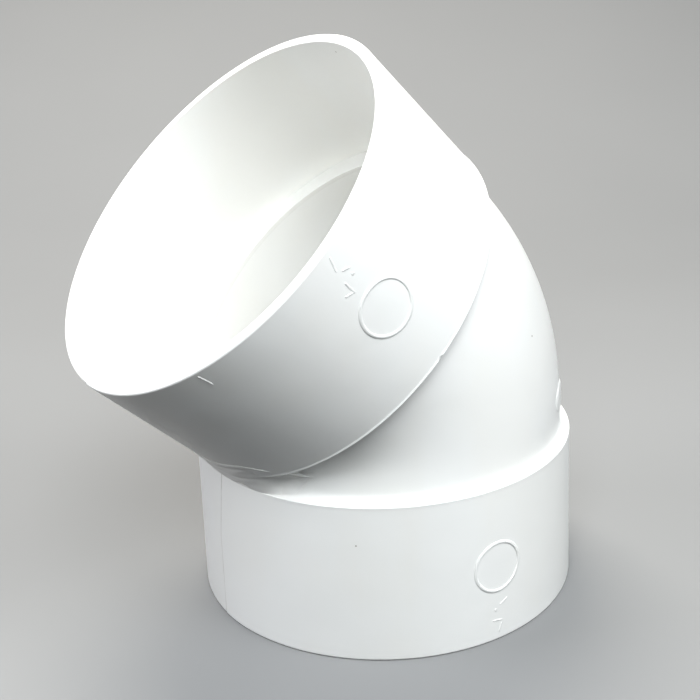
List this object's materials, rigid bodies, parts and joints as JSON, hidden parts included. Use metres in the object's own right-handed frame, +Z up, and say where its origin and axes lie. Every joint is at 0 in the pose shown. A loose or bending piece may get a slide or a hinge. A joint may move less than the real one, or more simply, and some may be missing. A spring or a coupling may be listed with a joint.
{
  "type": "conduit elbow",
  "caption": "Forty-five degree white plastic elbow for rigid conduit, with a thin-walled pipe socket and stop ledge at each end of a short bend.",
  "frame": {"origin": "centre of the lower socket's mouth, on the plane the elbow stands on", "axes": "+Z up the lower socket's axis into the fitting; the bend lies in the XZ plane and the upper socket leans 45 degrees towards -X; the raised ring marks face -Y"},
  "size_m": [0.1566, 0.1209, 0.1723],
  "materials": {
    "white_pvc": "satin white moulded PVC"
  },
  "bodies": {
    "root": {"lower_socket": "white_pvc", "lower_ring_mark": "white_pvc", "lower_stop_shoulder": "white_pvc", "bend_tube": "white_pvc", "heel_pad": "white_pvc", "upper_stop_shoulder": "white_pvc", "upper_socket": "white_pvc", "upper_ring_mark": "white_pvc"}
  },
  "joints": []
}
